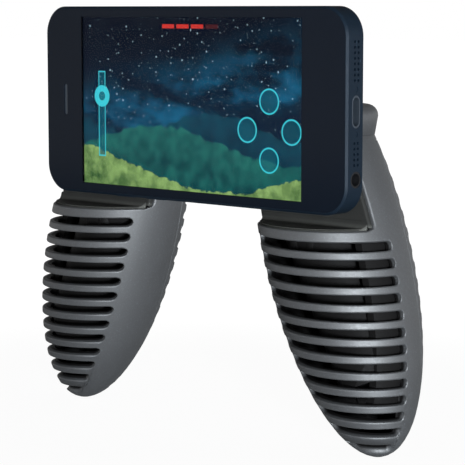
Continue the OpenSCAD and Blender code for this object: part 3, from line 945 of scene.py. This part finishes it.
    def vertex(self, column: int, z: float, depth: float = 0.0) -> Vector:
        """Place of a grid vertex.

        Args:
            column: Its column.
            z: Its row's height.
            depth: How far it lies under the egg's surface.

        Returns:
            The place on the egg, with the slots' ends drawn round.
        """
        turns, _, ends = self.columns(z)
        column %= len(turns)
        if column in ends:
            kind, share = ends[column]
            k = self.slot_at(z, self.front_slots if kind == "front" else self.lid_slots)
            if k is not None:
                middle = self.slot_z(k)
                z = middle + (z - middle) * math.sqrt(1.0 - (1.0 - share) ** 2)
                turns = self.columns(z)[0]
        return self.egg.inset(depth).point(turns[column], z)


@dataclass
class RibbedGrip:
    """One grip: ribbed shell, grooved lid, cap and pads, in millimetres."""

    side: Side
    # The skin paints shade on the shell's inner faces; the black material after plastic paints
    # shade on the lid's inner faces.
    skin: bpy.types.Material
    plastic: bpy.types.Material
    shade_inside: bpy.types.Material
    rubber: bpy.types.Material
    layout: GripLayout = field(default_factory=GripLayout)
    wall: float = 2.6
    edge: float = 0.5
    cap_flare: float = 0.95
    cap_height: float = 8.4
    cap_round: float = 3.2
    cap_lap: float = 0.3
    groove_depth: float = 1.6
    lid_edge: float = 0.35
    lid_screws: Tuple[float, float] = (2.5, 7.5)
    boss: Tuple[float, float] = (2.26, 3.5)
    head: float = 1.4
    pad_inset: float = 0.7
    pad_foot: float = 1.6
    pad_press: float = 0.5
    cove: float = 2.3
    cove_steps: int = 8
    foot_plain: float = -93.6

    def build(self) -> None:
        """Build and dress every piece of the grip."""
        shell = self._grid(lid=False)
        self._pocket(shell)
        self._mark_rims(shell, lambda place: place.z < self.foot_plain)
        piece = self._finish_skin(shell, "ribbed_shell", self.wall, self.edge)
        # The shell's skin material darkens its inner faces as painted shade.
        dress(piece, self.skin, self.side.body, [self.side.node("grip_shell")])
        self._lid()
        self._bosses()
        self._cap()
        self._floor_pad()
        self._back_pad()

    def _place(self, bm: bmesh.types.BMesh) -> None:
        """Put a +X side bmesh in metres on this grip's side, faces outward.

        Args:
            bm: The bmesh, in millimetres.
        """
        bmesh.ops.transform(bm, verts=bm.verts,
                            matrix=Matrix.Diagonal((MM * self.side.value, MM, MM, 1.0)))
        if self.side is Side.LEFT:
            bmesh.ops.reverse_faces(bm, faces=bm.faces)

    def _grid(self, lid: bool) -> bmesh.types.BMesh:
        """Lay the grid on the egg and open its slots.

        Args:
            lid: True for the lid's skin, False for the shell's.

        Returns:
            The skin, in millimetres, with each vertex's row and column kept.
        """
        layout = self.layout
        rows = layout.rows()
        turns, marks, _ = layout.columns(layout.floor)
        count = len(turns)
        bm = bmesh.new()
        bmesh.ops.create_grid(bm, x_segments=count, y_segments=len(rows) - 1, size=0.5)
        col = bm.verts.layers.int.new("col")
        row = bm.verts.layers.int.new("row")
        groove = bm.faces.layers.int.new("groove")
        drop: List[bmesh.types.BMFace] = []
        for face in bm.faces:
            middle = face.calc_center_median()
            i = int((middle.x + 0.5) * count)
            j = int((middle.y + 0.5) * (len(rows) - 1))
            z = 0.5 * (rows[j] + rows[j + 1])
            if self._open(i, z, marks, lid):
                drop.append(face)
            in_groove = marks["lid_out"] <= i < marks["lid_in"]
            face[groove] = int(in_groove and layout.slot_at(z, layout.lid_slots) is not None)
        for vert in bm.verts:
            vert[col] = round((vert.co.x + 0.5) * count) % count
            vert[row] = round((vert.co.y + 0.5) * (len(rows) - 1))
            vert.co = layout.vertex(vert[col], rows[vert[row]])
        bmesh.ops.delete(bm, geom=drop, context="FACES")
        bmesh.ops.remove_doubles(bm, verts=bm.verts, dist=0.01)
        bmesh.ops.dissolve_degenerate(bm, dist=0.001, edges=bm.edges)
        turn_outward(bm, rear=lid)
        return bm

    def _open(self, column: int, z: float, marks: Dict[str, int], lid: bool) -> bool:
        """Whether a grid face is left out.

        Args:
            column: The face's column.
            z: The face's middle height.
            marks: The named columns.
            lid: True for the lid's skin.

        Returns:
            True where the skin is open.
        """
        layout = self.layout
        in_lid = (marks["seam_out"] <= column < marks["seam_in"]
                  and layout.lid_foot < z < layout.lid_top)
        if lid:
            return not in_lid
        if in_lid or column < marks["wall_out"] and z > layout.floor:
            return True
        in_slot = marks["slot_in"] <= column < marks["slot_out"]
        return in_slot and layout.slot_at(z, layout.front_slots) is not None

    def _pocket(self, bm: bmesh.types.BMesh) -> None:
        """Close the pocket's back wall, with its fillet, and its floor.

        Args:
            bm: The shell's skin.
        """
        rows = self.layout.rows()
        _, marks, _ = self.layout.columns(self.layout.floor)
        col = bm.verts.layers.int["col"]
        row = bm.verts.layers.int["row"]
        level = rows.index(self.layout.floor)
        wall_edges = [edge for edge in bm.edges if all(v[row] >= level for v in edge.verts)
                      and len({v[col] for v in edge.verts}) == 1
                      and edge.verts[0][col] in (0, marks["wall_out"])]
        bmesh.ops.bridge_loops(bm, edges=wall_edges)
        lip = [edge for edge in bm.edges if edge.is_boundary
               and all(v[row] == level and v[col] <= marks["wall_out"] for v in edge.verts)]
        bmesh.ops.contextual_create(bm, geom=lip)
        bmesh.ops.recalc_face_normals(bm, faces=bm.faces)
        turn_outward(bm, rear=False)

    def _lid(self) -> None:
        """Lid over the grip's back, with sunk grooves and two screw holes."""
        layout = self.layout
        rows = layout.rows()
        bm = self._grid(lid=True)
        col = bm.verts.layers.int["col"]
        row = bm.verts.layers.int["row"]
        groove = bm.faces.layers.int["groove"]
        sunk = [face for face in bm.faces if face[groove]]
        for vert in extrude(bm, sunk):
            vert.co = layout.vertex(vert[col], rows[vert[row]], self.groove_depth)
        bmesh.ops.delete(bm, geom=[face for face in sunk if face.is_valid], context="FACES")
        bm = rebuilt(bm)
        holes = [Vector((layout.egg.section(z)[0], z)) for z in self._screw_heights()]
        for hole in holes:
            self._pierce(bm, hole.x, hole.y, 0.5 * sum(self.boss))
        bmesh.ops.recalc_face_normals(bm, faces=bm.faces)
        turn_outward(bm, rear=True)
        plain = 1.5 * self.boss[1]
        self._mark_rims(bm, lambda place: any((place.xz - hole).length < plain for hole in holes))
        piece = self._finish_skin(bm, "grooved_lid", self.wall - self.groove_depth, self.lid_edge)
        dress(piece, self.plastic, self.side.body, [self.side.node("back_cover")])
        # Painted shade: the lid's inner faces take the black material through the wall's material
        # offset.
        piece.data.materials.append(self.shade_inside)
        piece.modifiers["wall"].material_offset = 1

    def _screw_heights(self) -> Tuple[float, ...]:
        """Heights of the lid's screws."""
        return tuple(self.layout.slot_z(k) for k in self.lid_screws)

    def _pierce(self, bm: bmesh.types.BMesh, x: float, z: float, radius: float) -> None:
        """Cut a round hole through the lid's skin.

        Args:
            bm: The lid's skin.
            x: The hole's middle in X.
            z: The hole's middle in Z.
            radius: The hole's radius.
        """
        def away(place: Vector) -> float:
            """Distance from the hole's axis."""
            return math.hypot(place.x - x, place.z - z)

        near = [face for face in bm.faces if away(face.calc_center_median()) < 2.0 * radius]
        sides = 16
        for step in range(sides):
            turn = FULL_TURN * step / sides
            out = Vector((math.cos(turn), 0.0, math.sin(turn)))
            edges = dict.fromkeys(edge for face in near for edge in face.edges)
            verts = dict.fromkeys(vert for face in near for vert in face.verts)
            cut = bmesh.ops.bisect_plane(bm, geom=[*near, *edges, *verts], dist=1e-5,
                                         plane_co=Vector((x, 0.0, z)) + radius * out, plane_no=out)
            near = [item for item in cut["geom"] if isinstance(item, bmesh.types.BMFace)]
        flat = radius * math.cos(math.pi / sides)
        inside = [face for face in near if away(face.calc_center_median()) < flat
                  and all(away(vert.co) < 1.04 * radius for vert in face.verts)]
        bmesh.ops.delete(bm, geom=inside, context="FACES")
        around = [vert for vert in bm.verts if away(vert.co) < 2.0 * radius]
        bmesh.ops.remove_doubles(bm, verts=around, dist=0.05)
        loose = [edge for edge in bm.edges if away(edge.verts[0].co) < 4.0 * radius]
        bmesh.ops.dissolve_limit(
            bm, angle_limit=math.radians(0.5), use_dissolve_boundaries=False, edges=loose,
            verts=list(dict.fromkeys(vert for edge in loose for vert in edge.verts)))

    def _bosses(self) -> None:
        """Rings that line the lid's screw holes, flush with the lid."""
        egg = self.layout.egg
        bm = bmesh.new()
        for z in self._screw_heights():
            middle, _, half = egg.section(z)
            top = egg.y + half
            seat = top - self.wall - self.head
            bore, rim = self.boss
            outline = [bm.verts.new((middle + r, y, z))
                       for r, y in ((bore, seat), (rim, seat), (rim, top), (bore, top))]
            spin(bm, outline, True, (middle, 0.0, z), (0.0, 1.0, 0.0), 48)
            for vert in bm.verts:
                if abs(vert.co.y - top) < WELD:
                    cx, ax, ay = egg.section(vert.co.z)
                    vert.co.y = egg.y + ay * math.sqrt(1.0 - ((vert.co.x - cx) / ax) ** 2)
        bmesh.ops.remove_doubles(bm, verts=bm.verts, dist=WELD)
        bmesh.ops.recalc_face_normals(bm, faces=bm.faces)
        self._place(bm)
        piece = new_piece(self.side.node("lid_bosses"), bm)
        soften(piece, 0.25 * MM)
        dress(piece, self.plastic, self.side.body)

    def _finish_skin(self, bm: bmesh.types.BMesh, name: str, wall: float,
                     edge: float) -> bpy.types.Object:
        """Give a skin its thickness and soft edges.

        Args:
            bm: The skin, in millimetres.
            name: The piece's name.
            wall: Its thickness in millimetres.
            edge: Rounding of its edges in millimetres.

        Returns:
            The piece.
        """
        self._place(bm)
        piece = new_piece(self.side.node(name), bm)
        thick = piece.modifiers.new("wall", "SOLIDIFY")
        thick.thickness = wall * MM
        thick.offset = -1.0
        thick.use_even_offset = True
        thick.use_quality_normals = True
        soften(piece, edge * MM, by_weight=True)
        return piece

    def _mark_rims(self, bm: bmesh.types.BMesh, plain: Callable[[Vector], bool]) -> None:
        """Mark the edges of a skin that get a rounding.

        Args:
            bm: The skin, in millimetres.
            plain: Says whether an edge with its middle at a place stays sharp.
        """
        weight = bm.edges.layers.float.new("bevel_weight_edge")
        for edge in bm.edges:
            middle = 0.5 * (edge.verts[0].co + edge.verts[1].co)
            sharp = edge.is_boundary or edge.calc_face_angle(0.0) > SHARP
            edge[weight] = float(sharp and not plain(middle))

    def _cap(self) -> None:
        """Turn the cap on the spine and cut its flat front."""
        layout = self.layout
        middle, neck_r, _ = layout.egg.section(layout.neck)
        wide = neck_r + self.cap_flare
        shoulder = layout.neck + self.cap_height - self.cap_round
        lap = layout.neck - self.cap_lap
        profile = [(0.0, lap), (neck_r + 0.02, lap), (wide, shoulder)]
        for turn in (math.radians(15.0 * i) for i in range(1, 7)):
            profile.append((wide - self.cap_round * (1.0 - math.cos(turn)),
                            shoulder + self.cap_round * math.sin(turn)))
        profile.append((0.0, layout.neck + self.cap_height))
        bm = bmesh.new()
        outline = [bm.verts.new((middle + r, layout.egg.y, z)) for r, z in profile]
        spin(bm, outline, False, (middle, layout.egg.y, 0.0), (0.0, 0.0, 1.0), 96)
        bmesh.ops.remove_doubles(bm, verts=bm.verts, dist=WELD)
        bmesh.ops.contextual_create(bm, geom=cut_across(bm, layout.wall, -1.0, True))
        bmesh.ops.recalc_face_normals(bm, faces=bm.faces)
        weight = bm.edges.layers.float.new("bevel_weight_edge")
        for edge in bm.edges:
            on_joint = all(v.co.z < layout.neck for v in edge.verts)
            edge[weight] = float(not on_joint and edge.calc_face_angle(0.0) >= SHARP)
        self._place(bm)
        piece = new_piece(self.side.node("spine_cap"), bm)
        soften(piece, 0.45 * MM, by_weight=True)
        dress(piece, self.plastic, self.side.body, [self.side.node("top_cap")])

    def _floor_pad(self) -> None:
        """Rubber pad that lines the pocket's floor and sweeps up to the wall in a cove."""
        low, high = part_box(self.side.node("floor_pad"))
        inner = self.layout.egg.inset(self.pad_inset)
        middle, ax, ay = inner.section(low.z / MM)
        bm = bmesh.new()
        bmesh.ops.create_circle(bm, cap_ends=True, radius=1.0, segments=128)
        place = Matrix.Translation((middle, inner.y, low.z / MM))
        bmesh.ops.transform(bm, verts=bm.verts, matrix=place @ Matrix.Diagonal((ax, ay, 1.0, 1.0)))
        cut_across(bm, high.y / MM, clear=True)
        start = high.y / MM - self.cove
        for step in range(self.cove_steps):
            turn = math.pi / 2.0 * step / self.cove_steps
            cut_across(bm, start + self.cove * math.sin(turn))
        for vert in extrude(bm, bm.faces[:]):
            run = clamp((vert.co.y - start) / self.cove, 0.0, 1.0)
            vert.co.z += (self.pad_press * (high.z - low.z) / MM
                          + self.cove * (1.0 - math.sqrt(1.0 - run * run)))
        bmesh.ops.recalc_face_normals(bm, faces=bm.faces)
        self._place(bm)
        piece = new_piece(self.side.node("pocket_lining"), bm)
        soften(piece, 0.3 * MM, 3, 50.0)
        dress(piece, self.rubber, self.side.body, [self.side.node("floor_pad")])

    def _back_pad(self) -> None:
        """Grip pad on the flat front of the spine."""
        low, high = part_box(self.side.node("back_pad"))
        low.z -= self.pad_foot * MM
        inner = self.layout.egg.inset(self.pad_inset)
        bm = bmesh.new()
        bmesh.ops.create_grid(bm, x_segments=8, y_segments=16, size=0.5)
        for vert in bm.verts:
            z = (low.z + (vert.co.y + 0.5) * (high.z - low.z)) / MM
            middle, ax, ay = inner.section(z)
            half = ax * math.sqrt(1.0 - ((high.y / MM - inner.y) / ay) ** 2)
            vert.co = Vector((middle + 2.0 * vert.co.x * half, high.y / MM, z))
        turn_outward(bm, rear=False)
        front = extrude(bm, bm.faces[:])
        bmesh.ops.translate(bm, vec=(0.0, (low.y - high.y) / MM, 0.0), verts=front)
        bmesh.ops.recalc_face_normals(bm, faces=bm.faces)
        self._place(bm)
        piece = new_piece(self.side.node("grip_pad"), bm)
        soften(piece, 0.6 * MM, 4, 50.0)
        dress(piece, self.rubber, self.side.body, [self.side.node("back_pad")])


def facing(place: Point, target: Point) -> Euler:
    """Rotation that turns a camera or lamp at a place to a target."""
    return (Vector(target) - Vector(place)).to_track_quat("-Z", "Y").to_euler()


@dataclass(frozen=True)
class Lamp:
    """One soft square lamp that faces the object, in metres and watts."""

    name: str
    place: Point
    size: float
    power: float
    tint: Colour = (1.0, 1.0, 1.0)
    target: Point = (0.0, 0.01, -0.035)

    def hang(self) -> None:
        """Hang the lamp in the scene."""
        data = bpy.data.lights.new(self.name, "AREA")
        data.size = self.size
        data.energy = self.power
        data.color = self.tint
        lamp = bpy.data.objects.new(self.name, data)
        lamp.location = self.place
        lamp.rotation_euler = facing(self.place, self.target)
        bpy.context.scene.collection.objects.link(lamp)


@dataclass(frozen=True)
class Studio:
    """Floor, lights, world and camera."""

    camera_at: Point = (0.3803, -0.3956, 0.0280)
    camera_to: Point = (0.01553, 0.0038, -0.037519)
    lens: float = 141.87
    floor: float = -0.1003
    paper: Colour = (0.8, 0.8, 0.8)
    glow: float = 1.06
    pool: Tuple[float, float] = (120.0, 320.0)
    pool_share: float = 0.9
    far_white: Tuple[float, float] = (500.0, 1200.0)
    horizon: Tuple[float, float] = (0.13, 0.24)
    ceiling: float = 0.06
    lamps: Tuple[Lamp, ...] = (
        Lamp("key_box", (0.84, -0.54, -0.04), 0.12, 15.0, (0.87, 0.94, 1.0)),
        Lamp("top_box", (0.0, 0.30, 1.0), 0.8, 1.0))

    def build(self) -> None:
        """Set the whole studio up."""
        self._camera()
        self._floor()
        self._world()
        for lamp in self.lamps:
            lamp.hang()
        bpy.context.scene.view_settings.view_transform = "Standard"

    def _camera(self) -> None:
        """Aim the camera as the photograph was taken."""
        data = bpy.data.cameras.new("camera")
        data.lens = self.lens
        data.sensor_width = 36.0
        data.clip_start = 0.01
        camera = bpy.data.objects.new("camera", data)
        bpy.context.scene.collection.objects.link(camera)
        camera.location = self.camera_at
        camera.rotation_euler = facing(self.camera_at, self.camera_to)
        bpy.context.scene.camera = camera

    def _floor(self) -> None:
        """A pale floor that keeps the object's shadow and shows white in metal and glass."""
        bm = bmesh.new()
        bmesh.ops.create_grid(bm, x_segments=1, y_segments=1, size=6.0)
        bmesh.ops.translate(bm, vec=(0.0, 0.0, self.floor), verts=bm.verts)
        piece = new_piece("floor", bm, False)
        shader = Shader("pale_floor")
        across, along, _ = shader.axes()
        away = (across * across + along * along).math("SQRT")
        seen, glossy, through = (shader.node("ShaderNodeLightPath", out=f"Is {kind} Ray")
                                 for kind in ("Camera", "Glossy", "Transmission"))
        share = (away.step(*self.pool) * (1.0 - self.pool_share) + self.pool_share) * seen
        share = share.largest(away.step(*self.far_white) * glossy.largest(through))
        paper = shader.principled(Base_Color=self.paper, Roughness=0.9, Specular_IOR_Level=0.0)
        glow = shader.node("ShaderNodeEmission", None,
                           {"Color": (1.0, 1.0, 1.0), "Strength": self.glow})
        piece.data.materials.append(shader.finish(shader.blend(share, paper, glow)))

    def _world(self) -> None:
        """White round the horizon and below, a dim ceiling above."""
        world = bpy.data.worlds.new("studio_white")
        bpy.context.scene.world = world
        world.use_nodes = True
        nodes, links = world.node_tree.nodes, world.node_tree.links
        nodes.clear()
        look = nodes.new("ShaderNodeTexCoord")
        parts = nodes.new("ShaderNodeSeparateXYZ")
        links.new(look.outputs["Generated"], parts.inputs[0])
        fade = nodes.new("ShaderNodeMapRange")
        for socket, value in zip(("From Min", "From Max", "To Min", "To Max"),
                                 (*self.horizon, 1.0, self.ceiling)):
            fade.inputs[socket].default_value = value
        links.new(parts.outputs["Z"], fade.inputs["Value"])
        light = nodes.new("ShaderNodeBackground")
        light.inputs["Color"].default_value = (1.0, 1.0, 1.0, 1.0)
        links.new(fade.outputs["Result"], light.inputs["Strength"])
        out = nodes.new("ShaderNodeOutputWorld")
        links.new(light.outputs[0], out.inputs["Surface"])


@dataclass
class Finishes:
    """Every finish on the object, built once."""

    shell_skin: bpy.types.Material
    by_slot: Dict[str, bpy.types.Material]

    @classmethod
    def make(cls) -> "Finishes":
        """Build the finishes for all of the record's slots.

        Returns:
            The finishes.
        """
        satin = GrainedPlastic("grip_satin", srgb(49, 50, 52), srgb(98, 104, 111), 0.6,
                               depth=0.00001, fleck_share=0.45, gloss=1.0, bend=1.75)
        # Black of the core, also used as painted shade on the inner faces of the shells and lids.
        black = GrainedPlastic("core_black", srgb(22, 21, 21), srgb(31, 30, 30), 0.6, gloss=0.1)
        finishes = {
            "frame_paint": SatinMetal("navy_anodised", srgb(21, 32, 43), 0.1, 0.5, 1600.0,
                                      gloss=0.1),
            "cover_glass": GlassFinish("cover_glass", srgb(15, 21, 30)),
            "display": ScreenFinish("lit_screen"),
            "bright_metal": SatinMetal("plated_steel", srgb(196, 198, 202),
                                       stretch=(1.0, 1.0, 6.0)),
            "dark_metal": SatinMetal("black_nickel", srgb(60, 68, 77), 0.4, 0.4),
            "inner_plastic": GrainedPlastic("inner_black", srgb(22, 22, 24), srgb(34, 34, 36), 0.5),
            "lens_black": GlossPlastic("lens_black", srgb(12, 13, 18), 0.06, 1.0),
            "flash_lens": GlossPlastic("flash_lens", srgb(222, 218, 204), 0.3, 0.6),
            "battery_wrap": GrainedPlastic("battery_wrap", srgb(50, 50, 54), srgb(70, 70, 74)),
            "circuit_board": GlossPlastic("circuit_board", srgb(18, 66, 40)),
            "card_plastic": GlossPlastic("card_plastic", srgb(208, 190, 120), 0.35, 0.1),
            "grip_plastic": satin,
            "core_plastic": black,
            "pad_rubber": RubberFinish("pad_rubber", srgb(38, 38, 36), srgb(52, 52, 50),
                                       srgb(82, 82, 78)),
            "screw_steel": SatinMetal("black_steel", srgb(92, 92, 94), 1.0, 0.4),
        }
        by_slot = {slot: finish.material() for slot, finish in finishes.items()}
        # The shell's skin paints shade on its inner faces with the core's black.
        return cls(SkinWithPaintedShade("shell_skin", satin, black).material(), by_slot)

    def dress_nodes(self) -> None:
        """Give every CAD node the finish of its slot."""
        for entry in frame["record"]["subparts"]:
            node = frame["nodes"][entry["node"]]
            node.data.materials.clear()
            node.data.materials.append(self.by_slot[entry["material_slot"]])
            LOG.info("node %s in %s", entry["node"], entry["material_slot"])


@dataclass
class DisplayPanel:
    """The lit panel, a hair behind the cover glass."""

    screen: bpy.types.Material
    clearance: float = 0.00004
    edge: float = 0.00015
    margin: float = 0.0006

    def build(self) -> None:
        """Build the panel in its node's place."""
        low, high = (Vector(corner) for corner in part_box("display_panel"))
        low.y += self.clearance
        bm = bmesh.new()
        bmesh.ops.create_cube(bm, size=1.0)
        size = high - low
        place = Matrix.Translation(0.5 * (low + high))
        bmesh.ops.transform(bm, verts=bm.verts, matrix=place @ Matrix.Diagonal((*size, 1.0)))
        bmesh.ops.bevel(bm, geom=bm.edges[:], offset=self.edge, offset_type="OFFSET", segments=2,
                        profile=0.5, affect="EDGES", material=-1)
        front = [face for face in bm.faces if face.normal.y < -0.99]
        bmesh.ops.inset_region(bm, faces=front, thickness=self.margin, depth=0.0)
        piece = new_piece("screen_panel", bm)
        dress(piece, self.screen, "phone", ["display_panel"])


def main() -> None:
    """Build the scene, piece by piece."""
    logging.basicConfig(level=logging.INFO, format="%(name)s: %(message)s")
    Studio().build()
    finishes = Finishes.make()
    finishes.dress_nodes()
    DisplayPanel(finishes.by_slot["display"]).build()
    for side in Side:
        RibbedGrip(side, finishes.shell_skin, finishes.by_slot["grip_plastic"],
                   finishes.by_slot["core_plastic"], finishes.by_slot["pad_rubber"]).build()


if __name__ == "__main__":
    main()
